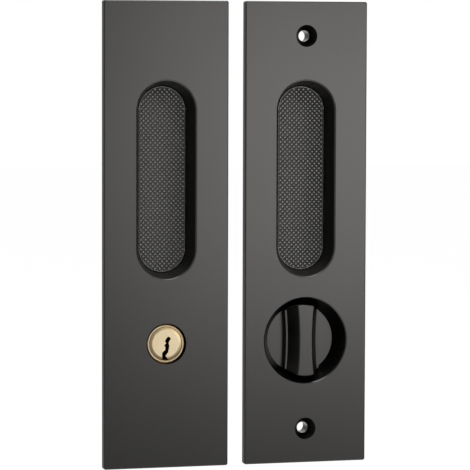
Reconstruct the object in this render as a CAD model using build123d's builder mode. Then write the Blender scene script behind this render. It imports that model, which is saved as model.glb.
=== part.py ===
from build123d import *
import os
from math import atan2, cos, degrees, radians, tan

# Sliding door lock: an outside plate with a key cylinder and an inside plate with a thumb turn.
# Millimetres. X runs right and Z runs up as seen from the front, and Y runs into the door.
# The origin is on the key cylinder's axis, in the plane where the plates rest on the door.

# Plates, both cast to one pattern
plate_width = 50.0
plate_height = 182.0
plate_thickness = 3.4
plate_corner_cut = 0.5
plate_edge_bevel = 0.4
plate_gap = 6.8
face_wall = 2.2
rim_width = 3.0
rib_width = 1.6
rib_count = 5
axis_height = 48.5

# Finger pull, a drafted pan that is open to the front
pull_width = 23.7
pull_height = 77.3
pull_centre_height = 112.4
pull_depth = 8.0
pull_inset = 2.4
pull_wall = 1.8
pull_rim_bevel = 0.4

# Ridged sheet on the pull's floor
grip_thickness = 0.8
grip_relief = 0.4
grip_pitch = 2.0
grip_lean = 45.0
grip_clearance = 0.1

# Long screws that join the plates through the door
screw_spacing = 155.0
screw_hole_diameter = 4.4
screw_head_diameter = 8.6
screw_head_depth = 3.8
screw_post_wall = 1.7
inside_post_length = 6.5
outside_post_length = 8.0
outside_post_wall = 2.8
tapped_hole_diameter = 3.3
tapped_hole_depth = 9.0

# Key cylinder
cylinder_setback = 1.2
nose_diameter = 14.6
nose_clearance = 0.7
barrel_diameter = 17.0
chamber_width = 9.0
chamber_top = 13.5
flange_length = 37.0
flange_height = 20.0
flange_thickness = 1.8
flange_screw_spread = 28.0
flange_screw_diameter = 3.0
flange_screw_head = 5.5
flange_screw_head_height = 1.6
flange_screw_depth = 2.2
pad_margin = 1.0
pad_drop = 0.4
seat_margin = 2.0
screw_clearance = 0.1
plug_diameter = 12.4
plug_head_diameter = 13.2
plug_head_thickness = 1.4
plug_face_bevel = 1.2
plug_face_fall = 0.25
plug_clearance = 0.05
plug_rear = 5.2

# Pin stacks, lifted to the shear line as a key holds them
pin_pitch = 3.3
pin_end_margin = 2.2
pin_diameter = 2.6
pin_clearance = 0.05
pin_end_gap = 0.12
key_pin_lengths = (5.2, 4.2, 4.8, 3.8)
driver_length = 2.6
pin_hole_floor = 0.4
spring_wire = 0.36
spring_coils = 3
spring_sides = 6
cover_width = 4.4
cover_thickness = 0.8
cover_depth = 1.4
cover_clearance = 0.04

# Keyway, (across, up) from the plug's axis, each side from its foot below the plug to the top
keyway_foot = -7.2
keyway_left = (
    (-1.4, keyway_foot),
    (-1.4, -3.5),
    (-0.2, -2.4),
    (-0.1, -1.4),
    (-0.6, -0.6),
    (0.2, 0.2),
    (-0.3, 1.0),
    (0.5, 2.4),
)
keyway_right = (
    (1.0, keyway_foot),
    (1.0, -6.2),
    (-0.1, -4.7),
    (1.0, -3.4),
    (1.5, -0.7),
    (1.1, 0.3),
    (2.1, 2.0),
    (1.3, 2.7),
)

# Clip and tail bar behind the cylinder
clip_thickness = 0.7
clip_slot_depth = 1.1
clip_clearance = 0.06
clip_margin = 1.0
clip_bridge = 1.8
tail_bar_width = 7.0
tail_bar_thickness = 2.0
tail_bar_length = 15.0
tail_slot_depth = 3.6
tail_slot_clearance = 0.05
tail_pin_width = 2.0
tail_pin_thickness = 1.3
tail_pin_inset = 0.4

# Dish and thumb turn
dish_diameter = 34.0
dish_floor_diameter = 27.0
dish_depth = 7.8
dish_wall = 1.8
dish_rim_bevel = 0.4
knob_proud = 0.8
knob_length = 28.1
knob_end_clearance = 0.3
knob_floor_gap = 0.3
knob_waist = 5.3
knob_foot_waist = 13.0
knob_side_draft = 30.0
knob_scoop_radius = 130.0
knob_foot_thickness = 2.6
knob_edge_bevel = 0.3
tang_width = 6.0
tang_length = 4.0
tang_clearance = 0.02
spindle_diameter = 11.0
spindle_clearance = 0.05
spindle_tail = 2.0
spindle_slot_depth = 8.0
spindle_slot_clearance = 0.2
hub_wall = 3.0
hub_length = 3.2
washer_width = 16.0
washer_thickness = 0.6
spindle_clip_thickness = 0.9
spindle_slot_inset = 0.9

# Places that follow from the sizes
outside_x = 0.0
inside_x = plate_width + plate_gap
plate_z = plate_height / 2 - axis_height
front_y = -plate_thickness
hollow_y = front_y + face_wall
screw_places = (plate_z - screw_spacing / 2, plate_z + screw_spacing / 2)
screw_sink_angle = degrees(atan2((screw_head_diameter - screw_hole_diameter) / 2, screw_head_depth))

pull_z = pull_centre_height - axis_height
pull_floor_y = front_y + pull_depth
pull_draft = degrees(atan2(pull_inset, pull_depth))
pull_shell = pull_wall * (1 / cos(radians(pull_draft)) - tan(radians(pull_draft)))
pull_floor_width = pull_width - 2 * pull_inset
pull_floor_height = pull_height - 2 * pull_inset

nose_y = front_y + cylinder_setback
pad_y = -pad_drop
flange_y = pad_y + flange_thickness
pin_places = [flange_y + pin_end_margin + step * pin_pitch for step in range(len(key_pin_lengths))]
shell_y = pin_places[-1] + pin_end_margin
plug_y = shell_y + plug_rear
plug_radius = plug_diameter / 2
bore_radius = plug_radius + plug_clearance
pin_radius = pin_diameter / 2
pin_hole_radius = pin_radius + pin_clearance
key_pin_top = (plug_radius**2 - pin_radius**2) ** 0.5 - pin_end_gap
driver_foot = bore_radius + pin_end_gap
cover_z = chamber_top - cover_depth
spring_foot = driver_foot + driver_length + spring_wire / 2
spring_height = cover_z - spring_wire / 2 - spring_foot
spring_radius = pin_radius - spring_wire
clip_slot_y = shell_y + clip_clearance
clip_slot_end_y = clip_slot_y + clip_thickness + 2 * clip_clearance
clip_neck = plug_diameter - 2 * clip_slot_depth
tail_pin_y = plug_y - tail_slot_depth / 2

dish_floor_y = front_y + dish_depth
dish_draft = degrees(atan2((dish_diameter - dish_floor_diameter) / 2, dish_depth))
dish_shell = dish_wall * (1 / cos(radians(dish_draft)) - tan(radians(dish_draft)))
knob_y = dish_floor_y - knob_floor_gap
knob_foot_radius = dish_floor_diameter / 2 - knob_end_clearance
knob_foot_y = knob_y - knob_foot_thickness
knob_top_y = front_y - knob_proud
spindle_radius = spindle_diameter / 2
hub_y = dish_floor_y + dish_wall + hub_length
washer_y = hub_y + spindle_clearance
spindle_cut_y = washer_y + washer_thickness + clip_clearance
spindle_cut_end_y = spindle_cut_y + spindle_clip_thickness + 2 * clip_clearance
spindle_neck = spindle_diameter - 2 * spindle_slot_inset
spindle_y = spindle_cut_end_y + spindle_tail


def door_plane(depth):
    """Plane that faces the viewer, at this depth into the door."""
    return Plane.XZ.offset(-depth)


def side_plane(x):
    """Plane through a lock axis for turned profiles: across is its x, into the door its y."""
    return Plane(origin=(x, 0, 0), x_dir=(1, 0, 0), z_dir=(0, 0, 1))


def lock_axis(x):
    """Axis that a key or a thumb turns about."""
    return Axis((x, 0, 0), (0, 1, 0))


def cast_plate(x):
    """Plate blank with its hollow, ribbed back and its finger pull."""
    with BuildPart() as blank:
        with BuildSketch(door_plane(0)):
            with Locations((x, plate_z)):
                Rectangle(plate_width, plate_height)
        extrude(amount=plate_thickness)
        chamfer(blank.edges().filter_by(Axis.Y), length=plate_corner_cut)
        chamfer(blank.faces().sort_by(Axis.Y)[0].edges(), length=plate_edge_bevel)
        with BuildSketch(door_plane(0)):
            with Locations((x, plate_z)):
                Rectangle(plate_width - 2 * rim_width, plate_height - 2 * rim_width)
                with GridLocations(0, plate_height / (rib_count + 1), 1, rib_count):
                    Rectangle(plate_width, rib_width, mode=Mode.SUBTRACT)
        extrude(amount=plate_thickness - face_wall, mode=Mode.SUBTRACT)
        with BuildSketch(door_plane(pull_floor_y + pull_wall)):
            with Locations((x, pull_z)):
                SlotOverall(pull_floor_height + 2 * pull_shell, pull_floor_width + 2 * pull_shell, 90)
        extrude(amount=pull_floor_y + pull_wall - hollow_y, taper=-pull_draft)
        with BuildSketch(door_plane(pull_floor_y)):
            with Locations((x, pull_z)):
                SlotOverall(pull_floor_height, pull_floor_width, 90)
        extrude(amount=pull_depth, taper=-pull_draft, mode=Mode.SUBTRACT)
        chamfer(blank.edges(Select.LAST).group_by(Axis.Y)[0], length=pull_rim_bevel)
    return blank.part


def grip_insert(x):
    """Sheet for a pull's floor, with sharp ridges that run across it at a slant."""
    reach = pull_floor_height + pull_floor_width
    ridges = int(reach / grip_pitch)
    crest_y = pull_floor_y - grip_thickness
    valley_y = crest_y + grip_relief
    across = Vector(1, 0, 0).rotate(Axis.Y, grip_lean)
    along = Vector(0, 0, 1).rotate(Axis.Y, grip_lean)
    zigzag = [
        ((step - ridges) * grip_pitch / 2, crest_y if step % 2 else valley_y)
        for step in range(2 * ridges + 1)
    ]
    with BuildPart() as sheet:
        with BuildSketch(door_plane(pull_floor_y)):
            with Locations((x, pull_z)):
                SlotOverall(
                    pull_floor_height - 2 * grip_clearance, pull_floor_width - 2 * grip_clearance, 90
                )
        extrude(amount=grip_thickness)
        with BuildSketch(Plane(origin=(x, 0, pull_z), x_dir=across, z_dir=along)):
            with BuildLine():
                crests = Polyline(*zigzag)
                Polyline(crests @ 1, (zigzag[-1][0], pull_floor_y), (zigzag[0][0], pull_floor_y), crests @ 0)
            make_face()
        extrude(amount=reach, both=True, mode=Mode.INTERSECT)
    return sheet.part


def fork_clip(x, y, thickness, shaft, neck):
    """Flat fork pushed down over a shaft, into the slots at its sides; its front face is at y."""
    with BuildPart() as fork:
        with BuildSketch(door_plane(y + thickness)):
            with Locations((x, shaft / 2 + clip_clearance)):
                below = (Align.CENTER, Align.MAX)
                Rectangle(shaft + 2 * clip_margin, shaft, align=below)
                Rectangle(shaft + 2 * clip_margin, clip_bridge, align=(Align.CENTER, Align.MIN))
                Rectangle(neck + 2 * clip_clearance, shaft, align=below, mode=Mode.SUBTRACT)
        extrude(amount=thickness)
    return fork.part


def side_slots(x, start_y, end_y, shaft, neck):
    """Blocks to take from both sides of a shaft, so that a fork clip can stand in the slots."""
    with BuildPart() as blocks:
        with BuildSketch(door_plane(end_y)):
            with Locations((x, 0)):
                Rectangle(2 * shaft, 2 * shaft)
                Rectangle(neck, 2 * shaft, mode=Mode.SUBTRACT)
        extrude(amount=end_y - start_y)
    return blocks.part


# Outside plate: solid pad and bore for the cylinder, two tapped posts
with BuildPart() as outside_plate:
    add(cast_plate(outside_x))
    with BuildSketch(door_plane(0)):
        with Locations((outside_x, chamber_top + seat_margin)):
            Rectangle(
                flange_length + 2 * seat_margin,
                chamber_top + flange_height / 2 + 2 * seat_margin,
                align=(Align.CENTER, Align.MAX),
            )
    extrude(amount=-hollow_y, mode=Mode.SUBTRACT)
    with BuildSketch(door_plane(pad_y)):
        Rectangle(flange_length + 2 * pad_margin, flange_height + 2 * pad_margin)
    extrude(amount=pad_y - hollow_y)
    with BuildSketch(door_plane(outside_post_length)):
        with Locations(*[(outside_x, z) for z in screw_places]):
            Circle(tapped_hole_diameter / 2 + outside_post_wall)
    extrude(amount=outside_post_length - hollow_y)
    with BuildSketch(door_plane(outside_post_length)):
        with Locations(*[(outside_x, z) for z in screw_places]):
            Circle(tapped_hole_diameter / 2)
    extrude(amount=tapped_hole_depth, mode=Mode.SUBTRACT)
    with BuildSketch(door_plane(pad_y)):
        with GridLocations(flange_screw_spread, 0, 2, 1):
            Circle(flange_screw_diameter / 2)
    extrude(amount=flange_screw_depth, mode=Mode.SUBTRACT)
    with BuildSketch(door_plane(pad_y)):
        Circle(nose_diameter / 2 + nose_clearance)
    extrude(amount=pad_y - front_y, mode=Mode.SUBTRACT)

with BuildPart() as outside_grip_insert:
    add(grip_insert(outside_x))

# Cylinder shell: nose through the plate, eared flange behind it, bored for the plug and the pins
with BuildPart() as cylinder_shell:
    with BuildSketch(door_plane(shell_y)):
        Circle(barrel_diameter / 2)
        Rectangle(chamber_width, chamber_top, align=(Align.CENTER, Align.MIN))
    extrude(amount=shell_y - pad_y)
    with BuildSketch(door_plane(flange_y)):
        Rectangle(flange_length, flange_height)
        with GridLocations(flange_screw_spread, 0, 2, 1):
            Circle(flange_screw_diameter / 2, mode=Mode.SUBTRACT)
    extrude(amount=flange_thickness)
    with BuildSketch(door_plane(pad_y)):
        Circle(nose_diameter / 2)
    extrude(amount=pad_y - nose_y)
    with BuildSketch(door_plane(shell_y)):
        Circle(bore_radius)
    extrude(amount=shell_y - nose_y, mode=Mode.SUBTRACT)
    with BuildSketch(door_plane(nose_y + plug_head_thickness + plug_clearance)):
        Circle(plug_head_diameter / 2 + plug_clearance)
    extrude(amount=plug_head_thickness + plug_clearance, mode=Mode.SUBTRACT)
    with BuildSketch(Plane.XY.offset(cover_z)):
        with Locations((outside_x, (flange_y + shell_y) / 2)):
            Rectangle(cover_width, shell_y - flange_y)
    extrude(amount=cover_depth, mode=Mode.SUBTRACT)
    with BuildSketch(Plane.XY.offset(cover_z)):
        with Locations(*[(outside_x, y) for y in pin_places]):
            Circle(pin_hole_radius)
    extrude(amount=-cover_z, mode=Mode.SUBTRACT)

with BuildPart() as pin_cover:
    with BuildSketch(Plane.XY.offset(cover_z)):
        with Locations((outside_x, (flange_y + shell_y) / 2)):
            Rectangle(cover_width - 2 * cover_clearance, shell_y - flange_y - 2 * cover_clearance)
    extrude(amount=cover_thickness)

with BuildPart() as flange_screws:
    with BuildSketch(door_plane(flange_y)):
        with GridLocations(flange_screw_spread, 0, 2, 1):
            Circle(flange_screw_diameter / 2 - screw_clearance)
    extrude(amount=flange_thickness + flange_screw_depth - screw_clearance)
    with BuildSketch(door_plane(flange_y + flange_screw_head_height)):
        with GridLocations(flange_screw_spread, 0, 2, 1):
            RegularPolygon(flange_screw_head / 2, 6, major_radius=False)
    extrude(amount=flange_screw_head_height)

# Cylinder plug: headed, slotted for its clip, with the warded keyway and the key pins' holes
with BuildPart() as cylinder_plug:
    with BuildSketch(side_plane(outside_x)):
        with BuildLine():
            head_radius = plug_head_diameter / 2
            shoulder_y = nose_y + plug_head_thickness
            Polyline(
                (0, nose_y),
                (head_radius - plug_face_bevel, nose_y),
                (head_radius, nose_y + plug_face_fall),
                (head_radius, shoulder_y),
                (plug_radius, shoulder_y),
                (plug_radius, plug_y),
                (0, plug_y),
                close=True,
            )
        make_face()
    revolve(axis=lock_axis(outside_x))
    add(
        side_slots(outside_x, clip_slot_y, clip_slot_end_y, plug_diameter, clip_neck),
        mode=Mode.SUBTRACT,
    )
    with BuildSketch(Plane.XY.offset(plug_radius)):
        with Locations(*[(outside_x, y) for y in pin_places]):
            Circle(pin_hole_radius)
    extrude(amount=pin_hole_floor - plug_radius, mode=Mode.SUBTRACT)
    with BuildSketch(door_plane(shell_y)):
        with BuildLine():
            Polyline(*keyway_left, *reversed(keyway_right), close=True)
        make_face()
    extrude(amount=shell_y - nose_y, mode=Mode.SUBTRACT)
    with BuildSketch(door_plane(plug_y)):
        Rectangle(tail_bar_thickness + 2 * tail_slot_clearance, tail_bar_width + 2 * tail_slot_clearance)
    extrude(amount=tail_slot_depth, mode=Mode.SUBTRACT)
    with BuildSketch(Plane.YZ):
        with Locations((tail_pin_y, 0)):
            Rectangle(tail_pin_width, tail_pin_thickness)
    extrude(amount=plug_diameter, both=True, mode=Mode.SUBTRACT)

key_pins = []
driver_pins = []
pin_springs = []
for y, pin_length in zip(pin_places, key_pin_lengths):
    with BuildPart() as key_pin:
        with BuildSketch(Plane.XY.offset(key_pin_top)):
            with Locations((outside_x, y)):
                Circle(pin_radius)
        extrude(amount=-pin_length)
    key_pins.append(key_pin)
    with BuildPart() as driver_pin:
        with BuildSketch(Plane.XY.offset(driver_foot)):
            with Locations((outside_x, y)):
                Circle(pin_radius)
        extrude(amount=driver_length)
    driver_pins.append(driver_pin)
    with BuildPart() as pin_spring:
        corners = [
            Vector(spring_radius, 0, 0).rotate(Axis.Z, 360 * step / spring_sides)
            + Vector(outside_x, y, spring_foot + spring_height * step / (spring_coils * spring_sides))
            for step in range(spring_coils * spring_sides + 1)
        ]
        with BuildLine() as coil:
            Polyline(*corners)
        with BuildSketch(Plane(origin=coil.line @ 0, z_dir=coil.line % 0)):
            Rectangle(spring_wire, spring_wire)
        sweep(transition=Transition.RIGHT)
    pin_springs.append(pin_spring)

with BuildPart() as plug_clip:
    add(fork_clip(outside_x, clip_slot_y + clip_clearance, clip_thickness, plug_diameter, clip_neck))

# Tail bar: stands in the plug's end slot and is held there by a flat cross pin
with BuildPart() as tail_bar:
    tail_foot_y = plug_y - tail_slot_depth
    with BuildSketch(door_plane(tail_foot_y + tail_bar_length)):
        Rectangle(tail_bar_thickness, tail_bar_width)
    extrude(amount=tail_bar_length)
    with BuildSketch(Plane.YZ):
        with Locations((tail_pin_y, 0)):
            Rectangle(tail_pin_width, tail_pin_thickness)
    extrude(amount=tail_bar_thickness, both=True, mode=Mode.SUBTRACT)

with BuildPart() as tail_pin:
    with BuildSketch(Plane.YZ):
        with Locations((tail_pin_y, 0)):
            Rectangle(
                tail_pin_width - 2 * tail_slot_clearance, tail_pin_thickness - 2 * tail_slot_clearance
            )
    extrude(amount=plug_radius - tail_pin_inset, both=True)

# Inside plate: dish and bearing hub for the thumb turn, two countersunk posts
with BuildPart() as inside_plate:
    add(cast_plate(inside_x))
    with BuildSketch(door_plane(dish_floor_y + dish_wall)):
        with Locations((inside_x, 0)):
            Circle(dish_floor_diameter / 2 + dish_shell)
    extrude(amount=dish_floor_y + dish_wall - hollow_y, taper=-dish_draft)
    with BuildSketch(door_plane(hub_y)):
        with Locations((inside_x, 0)):
            Circle(spindle_radius + hub_wall)
    extrude(amount=hub_length)
    with BuildSketch(door_plane(inside_post_length)):
        with Locations(*[(inside_x, z) for z in screw_places]):
            Circle(screw_head_diameter / 2 + screw_post_wall)
    extrude(amount=inside_post_length - hollow_y)
    with BuildSketch(door_plane(inside_post_length)):
        with Locations(*[(inside_x, z) for z in screw_places]):
            Circle(screw_hole_diameter / 2)
    extrude(amount=inside_post_length - front_y, mode=Mode.SUBTRACT)
    with BuildSketch(door_plane(front_y + screw_head_depth)):
        with Locations(*[(inside_x, z) for z in screw_places]):
            Circle(screw_hole_diameter / 2)
    extrude(amount=screw_head_depth, taper=-screw_sink_angle, mode=Mode.SUBTRACT)
    with BuildSketch(door_plane(hub_y)):
        with Locations((inside_x, 0)):
            Circle(spindle_radius + spindle_clearance)
    extrude(amount=hub_y - dish_floor_y, mode=Mode.SUBTRACT)
    with BuildSketch(door_plane(dish_floor_y)):
        with Locations((inside_x, 0)):
            Circle(dish_floor_diameter / 2)
    extrude(amount=dish_depth, taper=-dish_draft, mode=Mode.SUBTRACT)
    with BuildSketch(door_plane(front_y + dish_rim_bevel)):
        with Locations((inside_x, 0)):
            Circle(dish_diameter / 2 - dish_rim_bevel * tan(radians(dish_draft)))
    extrude(amount=dish_rim_bevel, taper=-45, mode=Mode.SUBTRACT)

with BuildPart() as inside_grip_insert:
    add(grip_insert(inside_x))

# Thumb knob: a disc with a long scoop taken from each side, which leaves a waisted bar on a foot
with BuildPart() as thumb_knob:
    bevel_y = knob_top_y + knob_edge_bevel
    with BuildSketch(side_plane(inside_x)):
        with BuildLine():
            Polyline(
                (0, knob_top_y),
                (knob_length / 2 - knob_edge_bevel, knob_top_y),
                (knob_length / 2, bevel_y),
                (knob_foot_radius, knob_y),
                (0, knob_y),
                close=True,
            )
        make_face()
    revolve(axis=lock_axis(inside_x))
    wall_reach = knob_scoop_radius - (knob_foot_y - bevel_y) * tan(radians(knob_side_draft))
    foot_reach = knob_scoop_radius - (knob_foot_waist - knob_waist) / 2
    for side in (-1, 1):
        scoop_x = inside_x + side * (knob_waist / 2 + knob_scoop_radius)
        with BuildSketch(side_plane(scoop_x)):
            with BuildLine():
                Polyline(
                    (0, knob_top_y),
                    (knob_scoop_radius + knob_edge_bevel, knob_top_y),
                    (knob_scoop_radius, bevel_y),
                    (wall_reach, knob_foot_y),
                    (foot_reach, knob_foot_y),
                    (foot_reach, knob_y),
                    (0, knob_y),
                    close=True,
                )
            make_face()
        revolve(axis=lock_axis(scoop_x), mode=Mode.SUBTRACT)
    with BuildSketch(door_plane(knob_y)):
        with Locations((inside_x, 0)):
            Rectangle(tang_width + 2 * tang_clearance, tang_width + 2 * tang_clearance)
    extrude(amount=tang_length + tang_clearance, mode=Mode.SUBTRACT)

# Thumb spindle: square tang in the knob, journal in the hub, slot for the tail bar's end
with BuildPart() as thumb_spindle:
    with BuildSketch(door_plane(spindle_y)):
        with Locations((inside_x, 0)):
            Circle(spindle_radius)
    extrude(amount=spindle_y - knob_y)
    add(
        side_slots(inside_x, spindle_cut_y, spindle_cut_end_y, spindle_diameter, spindle_neck),
        mode=Mode.SUBTRACT,
    )
    with BuildSketch(door_plane(knob_y)):
        with Locations((inside_x, 0)):
            Rectangle(tang_width, tang_width)
    extrude(amount=tang_length)
    with BuildSketch(door_plane(spindle_y)):
        with Locations((inside_x, 0)):
            Rectangle(
                tail_bar_thickness + 2 * spindle_slot_clearance, tail_bar_width + 2 * spindle_slot_clearance
            )
    extrude(amount=spindle_slot_depth, mode=Mode.SUBTRACT)

# Square spring washer, pressed flat between the hub and the clip
with BuildPart() as spring_washer:
    with BuildSketch(door_plane(washer_y + washer_thickness)):
        with Locations((inside_x, 0)):
            Rectangle(washer_width, washer_width)
            Circle(spindle_radius + spindle_clearance, mode=Mode.SUBTRACT)
    extrude(amount=washer_thickness)

with BuildPart() as spindle_clip:
    clip_y = spindle_cut_y + clip_clearance
    add(fork_clip(inside_x, clip_y, spindle_clip_thickness, spindle_diameter, spindle_neck))

pieces = {
    "outside_plate": outside_plate,
    "outside_grip_insert": outside_grip_insert,
    "cylinder_shell": cylinder_shell,
    "pin_cover": pin_cover,
    "flange_screws": flange_screws,
    "cylinder_plug": cylinder_plug,
    "plug_clip": plug_clip,
    "tail_bar": tail_bar,
    "tail_pin": tail_pin,
    "inside_plate": inside_plate,
    "inside_grip_insert": inside_grip_insert,
    "thumb_knob": thumb_knob,
    "thumb_spindle": thumb_spindle,
    "spring_washer": spring_washer,
    "spindle_clip": spindle_clip,
}
for number in range(len(pin_places)):
    pieces[f"key_pin_{number + 1}"] = key_pins[number]
    pieces[f"driver_pin_{number + 1}"] = driver_pins[number]
    pieces[f"pin_spring_{number + 1}"] = pin_springs[number]

os.makedirs("parts", exist_ok=True)
for name, piece in pieces.items():
    piece.part.label = name
    export_step(piece.part, f"parts/{name}.step")
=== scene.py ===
import math
from collections import namedtuple

import bmesh
import bpy
from mathutils import Matrix, Vector


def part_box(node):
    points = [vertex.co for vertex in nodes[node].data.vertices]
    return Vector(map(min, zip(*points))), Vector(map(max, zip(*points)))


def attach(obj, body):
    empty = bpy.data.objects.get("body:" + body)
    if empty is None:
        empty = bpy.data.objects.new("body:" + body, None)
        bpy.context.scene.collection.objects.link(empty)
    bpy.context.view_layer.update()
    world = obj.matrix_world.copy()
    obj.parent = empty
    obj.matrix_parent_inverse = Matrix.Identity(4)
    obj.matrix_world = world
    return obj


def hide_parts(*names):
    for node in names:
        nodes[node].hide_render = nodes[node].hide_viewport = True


# Sliding door lock: two satin black plates side by side, each with an embossed finger pull,
# a brass key cylinder in the left plate and a thumb turn in the right one.
# Metres, with X to the right, Y into the door and Z up.

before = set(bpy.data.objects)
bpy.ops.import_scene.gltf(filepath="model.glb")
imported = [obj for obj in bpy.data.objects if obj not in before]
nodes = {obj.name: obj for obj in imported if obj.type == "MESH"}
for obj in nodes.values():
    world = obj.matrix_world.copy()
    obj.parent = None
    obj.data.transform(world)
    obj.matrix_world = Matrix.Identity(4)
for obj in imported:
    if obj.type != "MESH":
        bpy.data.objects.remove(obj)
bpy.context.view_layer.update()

MM = 0.001

# Embossed sheet on each pull's floor: blunt diamonds between two sets of slanting grooves.
# The flat is a share of the pitch, and a diamond has this many grid steps from tip to tip.
SHEET_BORDER = 0.18 * MM
DIAMOND_PITCH = 1.34 * MM
DIAMOND_FLAT = 0.42
DIAMOND_RELIEF = 0.165 * MM
DIAMOND_STEPS = 12

# Painted shade in slots, found by ambient occlusion: how far it looks, and its values in the dark and in the
# clear
NOOK_SHADE_REACH = 2.5 * MM
NOOK_SHADE_DARK = 0.60
NOOK_SHADE_CLEAR = 0.92

# Studio: height of the floor, and its light where it is seen
FLOOR_Z = -0.30
FLOOR_REACH = 9.0
FLOOR_GLOW = 0.5
# White surround as it is seen, and as it lights matt surfaces
SURROUND_SEEN = 1.0
SURROUND_LIGHT = 0.55
# Upright cards on all four sides of the lock, just clear of the floor
CARD_FOOT = -0.29
CARD_TOP = 1.2
LEFT_CARD_X = -0.30
LEFT_CARD_BACK = 0.15
RIGHT_CARD_X = 0.45
RIGHT_CARD_FRONT = -0.10
RIGHT_CARD_BACK = 0.30
BACK_CARD_Y = 1.0
BACK_CARD_LEFT = -0.42
BACK_CARD_RIGHT = -0.12
FRONT_CARDS_Y = -0.9
TOP_CARD_RIGHT = 1.2
TOP_CARD_TOP = 0.6
# Low card in front, which slants down towards the lock
LOW_CARD_LEFT = -0.5
LOW_CARD_RIGHT = 0.8
LOW_CARD_HIGH_EDGE = -0.086
LOW_CARD_LOW_EDGE = -0.28
LOW_CARD_BACK = -0.2
# Softbox, in a window that the front cards leave open
SOFTBOX_LEFT = 0.20
SOFTBOX_RIGHT = 0.75
SOFTBOX_FOOT = -0.075
SOFTBOX_TOP = 0.21
SOFTBOX_BEHIND_CARDS = 0.005
SOFTBOX_WATTS = 0.98
# Square lamp overhead
TOP_LIGHT_PLACE = (0.0, -0.2, 1.6)
TOP_LIGHT_AIM = (0.03, 0.0, 0.04)
TOP_LIGHT_SIDE = 0.9
TOP_LIGHT_WATTS = 8

# Camera, from the plates' corners in the photo
CAMERA_TARGET = Vector((28.67, 0, 41.93)) * MM
CAMERA_DISTANCE = 1111 * MM
CAMERA_YAW = math.radians(16.22)
CAMERA_PITCH = math.radians(3.63)
CAMERA_ROLL = math.radians(0.16)
CAMERA_SENSOR = 36.0
CAMERA_FOCUS_PIXELS = 2830
CAMERA_NEAR = 0.01
CAMERA_FAR = 30
IMAGE_PIXELS = 470

# Sockets of a Mix node for colours, which share their names with those for numbers
MIX_SHARE = 0
MIX_FIRST = 6
MIX_SECOND = 7
MIX_RESULT = 2
# Noise lies between these two values almost everywhere
NOISE_LOW = 0.3
NOISE_HIGH = 0.7
# Width of one ring of a Wave node at scale 1
WAVE_PERIOD = 2 * math.pi / 20


def linear(hex_code):
    """Linear RGBA of an sRGB hex colour."""
    shades = [int(hex_code[place:place + 2], 16) / 255 for place in (1, 3, 5)]
    return [s / 12.92 if s <= 0.04045 else ((s + 0.055) / 1.055) ** 2.4 for s in shades] + [1.0]


def empty_tree(owner):
    """Node tree of a material or a world, with nothing in it."""
    owner.use_nodes = True
    owner.node_tree.nodes.clear()
    return owner.node_tree


def add_node(tree, kind, links=None, values=None, **settings):
    """Adds a node with its settings, its input values and its links, each input: (node, output)."""
    made = tree.nodes.new(kind)
    for name, value in settings.items():
        setattr(made, name, value)
    for name, value in (values or {}).items():
        made.inputs[name].default_value = value
    for name, (source, output) in (links or {}).items():
        tree.links.new(source.outputs[output], made.inputs[name])
    return made


def metal_colour(tree, place, pale, deep, cloud, painted_wall_shade, painted_nook_shade):
    """Cloudy tone between two colours, then painted shade on surface turned from the front and deep in
    slots. Returns the last Mix node.
    """
    tone = add_node(
        tree, "ShaderNodeTexNoise", {"Vector": (place, "Object")}, {"Scale": 1 / (cloud * MM), "Detail": 3.0}
    )
    tint = add_node(
        tree,
        "ShaderNodeMix",
        {MIX_SHARE: (tone, "Fac")},
        {MIX_FIRST: linear(deep), MIX_SECOND: linear(pale)},
        data_type="RGBA",
    )
    # Painted shade: surface turned away from the front goes over to the wall colour, by its normal
    if painted_wall_shade:
        wall_shade_colour, share_from, share_to = painted_wall_shade
        turned_to = add_node(tree, "ShaderNodeSeparateXYZ", {"Vector": (place, "Normal")})
        wall_shade_share = add_node(
            tree,
            "ShaderNodeMapRange",
            {"Value": (turned_to, "Y")},
            {"From Min": -share_from, "From Max": -share_to},
        )
        tint = add_node(
            tree,
            "ShaderNodeMix",
            {MIX_SHARE: (wall_shade_share, "Result"), MIX_FIRST: (tint, MIX_RESULT)},
            {MIX_SECOND: linear(wall_shade_colour)},
            data_type="RGBA",
        )
    # Painted shade: where ambient occlusion finds a slot, the colour goes over to the nook colour
    if painted_nook_shade:
        nook_occlusion = add_node(tree, "ShaderNodeAmbientOcclusion", values={"Distance": NOOK_SHADE_REACH}, samples=8)
        clear = add_node(
            tree,
            "ShaderNodeMapRange",
            {"Value": (nook_occlusion, "AO")},
            {"From Min": NOOK_SHADE_DARK, "From Max": NOOK_SHADE_CLEAR},
        )
        tint = add_node(
            tree,
            "ShaderNodeMix",
            {MIX_SHARE: (clear, "Result"), MIX_SECOND: (tint, MIX_RESULT)},
            {MIX_FIRST: linear(painted_nook_shade)},
            data_type="RGBA",
        )
    return tint


def metal_relief(tree, place, speck, grain_depth, edge, rings):
    """Bumps of the grain, over rounded edges and under turning marks. Returns the last Bump node."""
    relief = add_node(
        tree,
        "ShaderNodeBump",
        {"Height": (speck, "Fac")},
        {"Strength": 1.0, "Distance": grain_depth * MM},
    )
    if edge:
        rounding = add_node(tree, "ShaderNodeBevel", values={"Radius": edge * MM}, samples=6)
        tree.links.new(rounding.outputs["Normal"], relief.inputs["Normal"])
    if rings:
        turned = add_node(
            tree,
            "ShaderNodeTexWave",
            {"Vector": (place, "Object")},
            {"Scale": WAVE_PERIOD / (rings * MM), "Distortion": 0.6, "Detail": 1.0},
            wave_type="RINGS",
            rings_direction="Y",
        )
        relief = add_node(
            tree,
            "ShaderNodeBump",
            {"Height": (turned, "Fac"), "Normal": (relief, "Normal")},
            {"Strength": 1.0, "Distance": grain_depth * MM},
        )
    return relief


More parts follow.
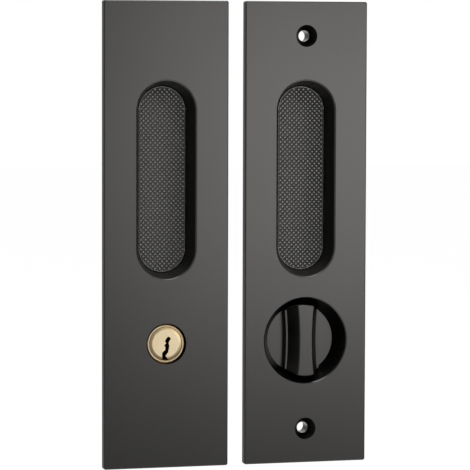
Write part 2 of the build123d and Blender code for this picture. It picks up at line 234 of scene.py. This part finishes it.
def metal(name, pale, deep, rough, cloud, grain, grain_depth, edge=None, rings=None, painted_wall_shade=None, painted_nook_shade=None):
    """Metal with a cloudy tone between two colours and a fine grain.

    rough is (smoothest, roughest), and cloud, grain and grain_depth are sizes in millimetres.
    edge rounds the light on sharp edges by that radius, and rings is the pitch of turning marks.
    The wall colour, given as (colour, from, to), is painted shade on surface that turns away from the front,
    where the normal's share towards the front falls between the two numbers, and the nook colour is painted
    shade deep in slots, which ambient occlusion finds.
    Grain and turning marks are drawn a few times coarser than real ones, or they would not show.
    """
    made = bpy.data.materials.new(name)
    tree = empty_tree(made)
    place = add_node(tree, "ShaderNodeTexCoord")
    speck = add_node(
        tree, "ShaderNodeTexNoise", {"Vector": (place, "Object")}, {"Scale": 1 / (grain * MM), "Detail": 2.0}
    )
    tint = metal_colour(tree, place, pale, deep, cloud, painted_wall_shade, painted_nook_shade)
    relief = metal_relief(tree, place, speck, grain_depth, edge, rings)
    polish = add_node(
        tree,
        "ShaderNodeMapRange",
        {"Value": (speck, "Fac")},
        {"From Min": NOISE_LOW, "From Max": NOISE_HIGH, "To Min": rough[0], "To Max": rough[1]},
    )
    surface = add_node(
        tree,
        "ShaderNodeBsdfPrincipled",
        {
            "Base Color": (tint, MIX_RESULT),
            "Roughness": (polish, "Result"),
            "Normal": (relief, "Normal"),
        },
        {"Metallic": 1.0},
    )
    add_node(tree, "ShaderNodeOutputMaterial", {"Surface": (surface, "BSDF")})
    return made


# Zinc die casting, plated black nickel: satin grey fronts, and near-black sides, which also get a little
# painted shade
black_nickel_casting = metal(
    "black_nickel_casting",
    pale="#535251",
    deep="#4f4e4d",
    rough=(0.285, 0.305),
    cloud=40.0,
    grain=0.35,
    grain_depth=0.0004,
    edge=0.15,
    painted_wall_shade=("#484746", 0.80, 0.72),
)
# Embossed steel sheet, plated black nickel too: bright flats, and dark slopes with painted shade
black_nickel_sheet = metal(
    "black_nickel_sheet",
    pale="#7a7977",
    deep="#706f6d",
    rough=(0.28, 0.36),
    cloud=9.0,
    grain=0.25,
    grain_depth=0.001,
    painted_wall_shade=("#6e6d6b", 0.98, 0.90),
)
# Turned brass: creamy, with faint rings round the axis, a golden painted shade where it turns from the
# front, and painted shade with tarnish, dark brown, deep in the keyway
turned_brass = metal(
    "turned_brass",
    pale="#ffedcb",
    deep="#f7dfb2",
    rough=(0.33, 0.41),
    cloud=5.0,
    grain=0.20,
    grain_depth=0.0012,
    edge=0.12,
    rings=0.35,
    painted_wall_shade=("#f9dca6", 0.995, 0.975),
    painted_nook_shade="#5c3a14",
)
# Drawn nickel silver, as pins are made: pale, warm grey
drawn_nickel_silver = metal(
    "drawn_nickel_silver",
    pale="#dccfae",
    deep="#c9b98f",
    rough=(0.22, 0.32),
    cloud=2.0,
    grain=0.15,
    grain_depth=0.001,
)
# Zinc-plated steel: cool pale grey, a little cloudy
zinc_plated_steel = metal(
    "zinc_plated_steel",
    pale="#c9cccf",
    deep="#a9adb2",
    rough=(0.26, 0.40),
    cloud=3.0,
    grain=0.20,
    grain_depth=0.002,
    edge=0.12,
)
# Spring steel, oiled: darker grey
oiled_spring_steel = metal(
    "oiled_spring_steel",
    pale="#8b8d90",
    deep="#6d7074",
    rough=(0.24, 0.36),
    cloud=2.5,
    grain=0.15,
    grain_depth=0.001,
)

# Slot, material, and how the names of the nodes begin
FINISHES = (
    ("coated_casting", black_nickel_casting, ("outside_plate", "inside_plate", "thumb_knob")),
    ("cylinder_brass", turned_brass, ("cylinder_shell", "cylinder_plug", "pin_cover")),
    ("cylinder_brass", drawn_nickel_silver, ("key_pin", "driver_pin")),
    ("plain_steel", zinc_plated_steel, ("flange_screws", "tail_bar", "tail_pin", "thumb_spindle")),
    ("spring_steel", oiled_spring_steel, ("plug_clip", "spring_washer", "spindle_clip", "pin_spring")),
)
for slot_name, finish, beginnings in FINISHES:
    for name, piece in nodes.items():
        if name.startswith(beginnings):
            piece.data.materials.clear()
            piece.data.materials.append(finish)


FrontPoint = namedtuple("FrontPoint", "x z depth inside")


def ridge_height(across):
    """Height of one set of ridges, at a distance across it: 0 in the groove, 1 on the flat."""
    place = across / DIAMOND_PITCH
    from_middle = abs(place - round(place)) * 2
    return min((1 - from_middle) / (1 - DIAMOND_FLAT), 1)


def emboss_depth(x, z, to_edge):
    """How far the front lies below the diamonds' tops: in the grooves, and in the plain border."""
    if to_edge < SHEET_BORDER:
        return DIAMOND_RELIEF / 2
    along = (x + z) / math.sqrt(2)
    across = (z - x) / math.sqrt(2)
    return DIAMOND_RELIEF * (1 - min(ridge_height(along), ridge_height(across)))


def front_points(half_width, straight):
    """Points of a front with round ends, by column and row, the outermost drawn in to the outline."""
    step = DIAMOND_PITCH * math.sqrt(2) / DIAMOND_STEPS
    columns = math.ceil(half_width / step)
    rows = math.ceil((straight + half_width) / step)
    points = {}
    for row in range(-rows, rows + 1):
        for column in range(-columns, columns + 1):
            x = column * step
            z = row * step
            core = max(min(z, straight), -straight)
            reach = math.hypot(x, z - core)
            if reach > half_width + step:
                continue
            if reach > half_width:
                x *= half_width / reach
                z = core + (z - core) * half_width / reach
            depth = emboss_depth(x, z, half_width - reach)
            points[column, row] = FrontPoint(x, z, depth, reach < half_width)
    return points


def embossed_sheet(name, node):
    """Sheet of the node's outline and thickness, its front embossed with rows of blunt diamonds."""
    low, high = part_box(node)
    middle = (low + high) / 2
    half_width = (high.x - low.x) / 2
    points = front_points(half_width, (high.z - low.z) / 2 - half_width)
    shape = bmesh.new()
    corners = {}
    for spot, point in points.items():
        corners[spot] = shape.verts.new((middle.x + point.x, low.y + point.depth, middle.z + point.z))
    for column, row in points:
        spots = ((column, row), (column + 1, row), (column + 1, row + 1), (column, row + 1))
        if any(spot not in points for spot in spots):
            continue
        if not any(points[spot].inside for spot in spots):
            continue
        a, b, c, d = [corners[spot] for spot in spots]
        depths = [points[spot].depth for spot in spots]
        # Cut along the flatter diagonal, which keeps ridges and grooves straight
        if abs(depths[0] - depths[2]) <= abs(depths[1] - depths[3]):
            shape.faces.new((a, b, c))
            shape.faces.new((a, c, d))
        else:
            shape.faces.new((a, b, d))
            shape.faces.new((b, c, d))
    rim = [side for side in shape.edges if side.is_boundary]
    skirt = bmesh.ops.extrude_edge_only(shape, edges=rim)["geom"]
    for corner in skirt:
        if isinstance(corner, bmesh.types.BMVert):
            corner.co.y = high.y
    bmesh.ops.holes_fill(shape, edges=[side for side in shape.edges if side.is_boundary])
    bmesh.ops.recalc_face_normals(shape, faces=shape.faces)
    mesh = bpy.data.meshes.new(name)
    shape.to_mesh(mesh)
    shape.free()
    piece = bpy.data.objects.new(name, mesh)
    bpy.context.scene.collection.objects.link(piece)
    mesh.materials.append(black_nickel_sheet)
    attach(piece, "plates")
    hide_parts(node)


embossed_sheet("outside_embossed_sheet", "outside_grip_insert")
embossed_sheet("inside_embossed_sheet", "inside_grip_insert")


def backdrop_light(tree):
    """1 for the rays that see the backdrop: from the camera, from gloss and through glass."""
    path = add_node(tree, "ShaderNodeLightPath")
    either = add_node(
        tree,
        "ShaderNodeMath",
        {0: (path, "Is Camera Ray"), 1: (path, "Is Glossy Ray")},
        operation="MAXIMUM",
    )
    return add_node(
        tree,
        "ShaderNodeMath",
        {0: (either, "Value"), 1: (path, "Is Transmission Ray")},
        operation="MAXIMUM",
    )


def white_surround():
    """White all round, which lights matt surfaces less than it shows."""
    world = bpy.data.worlds.new("white_studio")
    tree = empty_tree(world)
    seen = backdrop_light(tree)
    level = add_node(
        tree,
        "ShaderNodeMapRange",
        {"Value": (seen, "Value")},
        {"To Min": SURROUND_LIGHT, "To Max": SURROUND_SEEN},
    )
    surround = add_node(
        tree,
        "ShaderNodeBackground",
        {"Strength": (level, "Result")},
        {"Color": linear("#ffffff")},
    )
    add_node(tree, "ShaderNodeOutputWorld", {"Surface": (surround, "Background")})
    return world


def floor_paper():
    """Matt white paper, with a glow where it is seen, so that the floor meets the surround unseen."""
    made = bpy.data.materials.new("pale_floor")
    tree = empty_tree(made)
    seen = backdrop_light(tree)
    glow = add_node(
        tree, "ShaderNodeMapRange", {"Value": (seen, "Value")}, {"To Min": 0.0, "To Max": FLOOR_GLOW}
    )
    paper = add_node(
        tree,
        "ShaderNodeBsdfPrincipled",
        {"Emission Strength": (glow, "Result")},
        {
            "Base Color": linear("#f2f2f2"),
            "Roughness": 0.9,
            "Specular IOR Level": 0.0,
            "Emission Color": linear("#ffffff"),
        },
    )
    add_node(tree, "ShaderNodeOutputMaterial", {"Surface": (paper, "BSDF")})
    return made


def card_paper(name, shade):
    """Matt grey card, plain because it only shows as a soft reflection."""
    made = bpy.data.materials.new(name)
    tree = empty_tree(made)
    paper = add_node(
        tree,
        "ShaderNodeBsdfPrincipled",
        values={"Base Color": linear(shade), "Roughness": 1.0, "Specular IOR Level": 0.0},
    )
    add_node(tree, "ShaderNodeOutputMaterial", {"Surface": (paper, "BSDF")})
    return made


def stage_sheet(name, corners, material):
    """Flat four-sided sheet of the stage."""
    mesh = bpy.data.meshes.new(name)
    mesh.from_pydata(corners, [], [(0, 1, 2, 3)])
    mesh.materials.append(material)
    piece = bpy.data.objects.new(name, mesh)
    bpy.context.scene.collection.objects.link(piece)
    return piece


def card(name, corners, material):
    """Card that only reflections show."""
    piece = stage_sheet(name, corners, material)
    piece.visible_camera = False
    piece.visible_diffuse = False
    piece.visible_shadow = False


def upright_card(name, start, end, material, foot=CARD_FOOT, top=CARD_TOP):
    """Upright card over the line from start to end, each (x, y)."""
    card(name, [(*start, foot), (*end, foot), (*end, top), (*start, top)], material)


def lamp(name, place, aim, size, power):
    """Rectangular area lamp that lights and reflects, and is not seen itself."""
    data = bpy.data.lights.new(name, "AREA")
    data.shape = "RECTANGLE"
    data.size, data.size_y = size
    data.energy = power
    made = bpy.data.objects.new(name, data)
    made.location = place
    made.rotation_euler = (Vector(aim) - Vector(place)).to_track_quat("-Z", "Y").to_euler()
    made.visible_camera = False
    bpy.context.scene.collection.objects.link(made)


def set_stage():
    """White studio: pale floor, white surround, and dark cards that give the plates their dark edges."""
    scene = bpy.context.scene
    scene.view_settings.view_transform = "Standard"
    scene.world = white_surround()
    floor_corners = [
        (x * FLOOR_REACH, y * FLOOR_REACH, FLOOR_Z) for x, y in ((-1, -1), (1, -1), (1, 1), (-1, 1))
    ]
    stage_sheet("floor", floor_corners, floor_paper())

    grey_card = card_paper("grey_card", "#7c7c7c")
    pale_card = card_paper("pale_card", "#dedede")
    front_left = (LEFT_CARD_X, FRONT_CARDS_Y)
    front_window = (SOFTBOX_LEFT, FRONT_CARDS_Y)
    front_right = (TOP_CARD_RIGHT, FRONT_CARDS_Y)
    upright_card("left_card", (LEFT_CARD_X, LEFT_CARD_BACK), front_left, pale_card)
    upright_card(
        "back_left_card", (BACK_CARD_LEFT, BACK_CARD_Y), (BACK_CARD_RIGHT, BACK_CARD_Y), grey_card
    )
    upright_card("front_left_card", front_left, front_window, grey_card)
    # The lower ends of the plates reflect this card and darken towards their feet
    low_card_corners = [
        (LOW_CARD_LEFT, FRONT_CARDS_Y, LOW_CARD_HIGH_EDGE),
        (LOW_CARD_RIGHT, FRONT_CARDS_Y, LOW_CARD_HIGH_EDGE),
        (LOW_CARD_RIGHT, LOW_CARD_BACK, LOW_CARD_LOW_EDGE),
        (LOW_CARD_LEFT, LOW_CARD_BACK, LOW_CARD_LOW_EDGE),
    ]
    card("front_low_card", low_card_corners, grey_card)
    upright_card(
        "front_top_card", front_window, front_right, grey_card, foot=SOFTBOX_TOP, top=TOP_CARD_TOP
    )
    upright_card(
        "right_card", (RIGHT_CARD_X, RIGHT_CARD_FRONT), (RIGHT_CARD_X, RIGHT_CARD_BACK), grey_card
    )

    softbox_x = (SOFTBOX_LEFT + SOFTBOX_RIGHT) / 2
    softbox_z = (SOFTBOX_FOOT + SOFTBOX_TOP) / 2
    lamp(
        "softbox",
        (softbox_x, FRONT_CARDS_Y - SOFTBOX_BEHIND_CARDS, softbox_z),
        (softbox_x, 0, softbox_z),
        (SOFTBOX_RIGHT - SOFTBOX_LEFT, SOFTBOX_TOP - SOFTBOX_FOOT),
        SOFTBOX_WATTS,
    )
    lamp(
        "top_light",
        TOP_LIGHT_PLACE,
        TOP_LIGHT_AIM,
        (TOP_LIGHT_SIDE, TOP_LIGHT_SIDE),
        TOP_LIGHT_WATTS,
    )


def set_camera():
    """Camera of the photo: far off, from the left and a little above."""
    forward = Vector(
        (
            math.sin(CAMERA_YAW) * math.cos(CAMERA_PITCH),
            math.cos(CAMERA_YAW) * math.cos(CAMERA_PITCH),
            -math.sin(CAMERA_PITCH),
        )
    )
    level = Vector((math.cos(CAMERA_YAW), -math.sin(CAMERA_YAW), 0))
    upright = level.cross(forward)
    right = level * math.cos(CAMERA_ROLL) + upright * math.sin(CAMERA_ROLL)
    up = upright * math.cos(CAMERA_ROLL) - level * math.sin(CAMERA_ROLL)
    data = bpy.data.cameras.new("photo_camera")
    data.sensor_width = CAMERA_SENSOR
    data.lens = CAMERA_FOCUS_PIXELS / IMAGE_PIXELS * CAMERA_SENSOR
    data.clip_start = CAMERA_NEAR
    data.clip_end = CAMERA_FAR
    camera = bpy.data.objects.new("photo_camera", data)
    turn = Matrix((right, up, -forward)).transposed().to_4x4()
    camera.matrix_world = Matrix.Translation(CAMERA_TARGET - forward * CAMERA_DISTANCE) @ turn
    bpy.context.scene.collection.objects.link(camera)
    bpy.context.scene.camera = camera


set_stage()
set_camera()
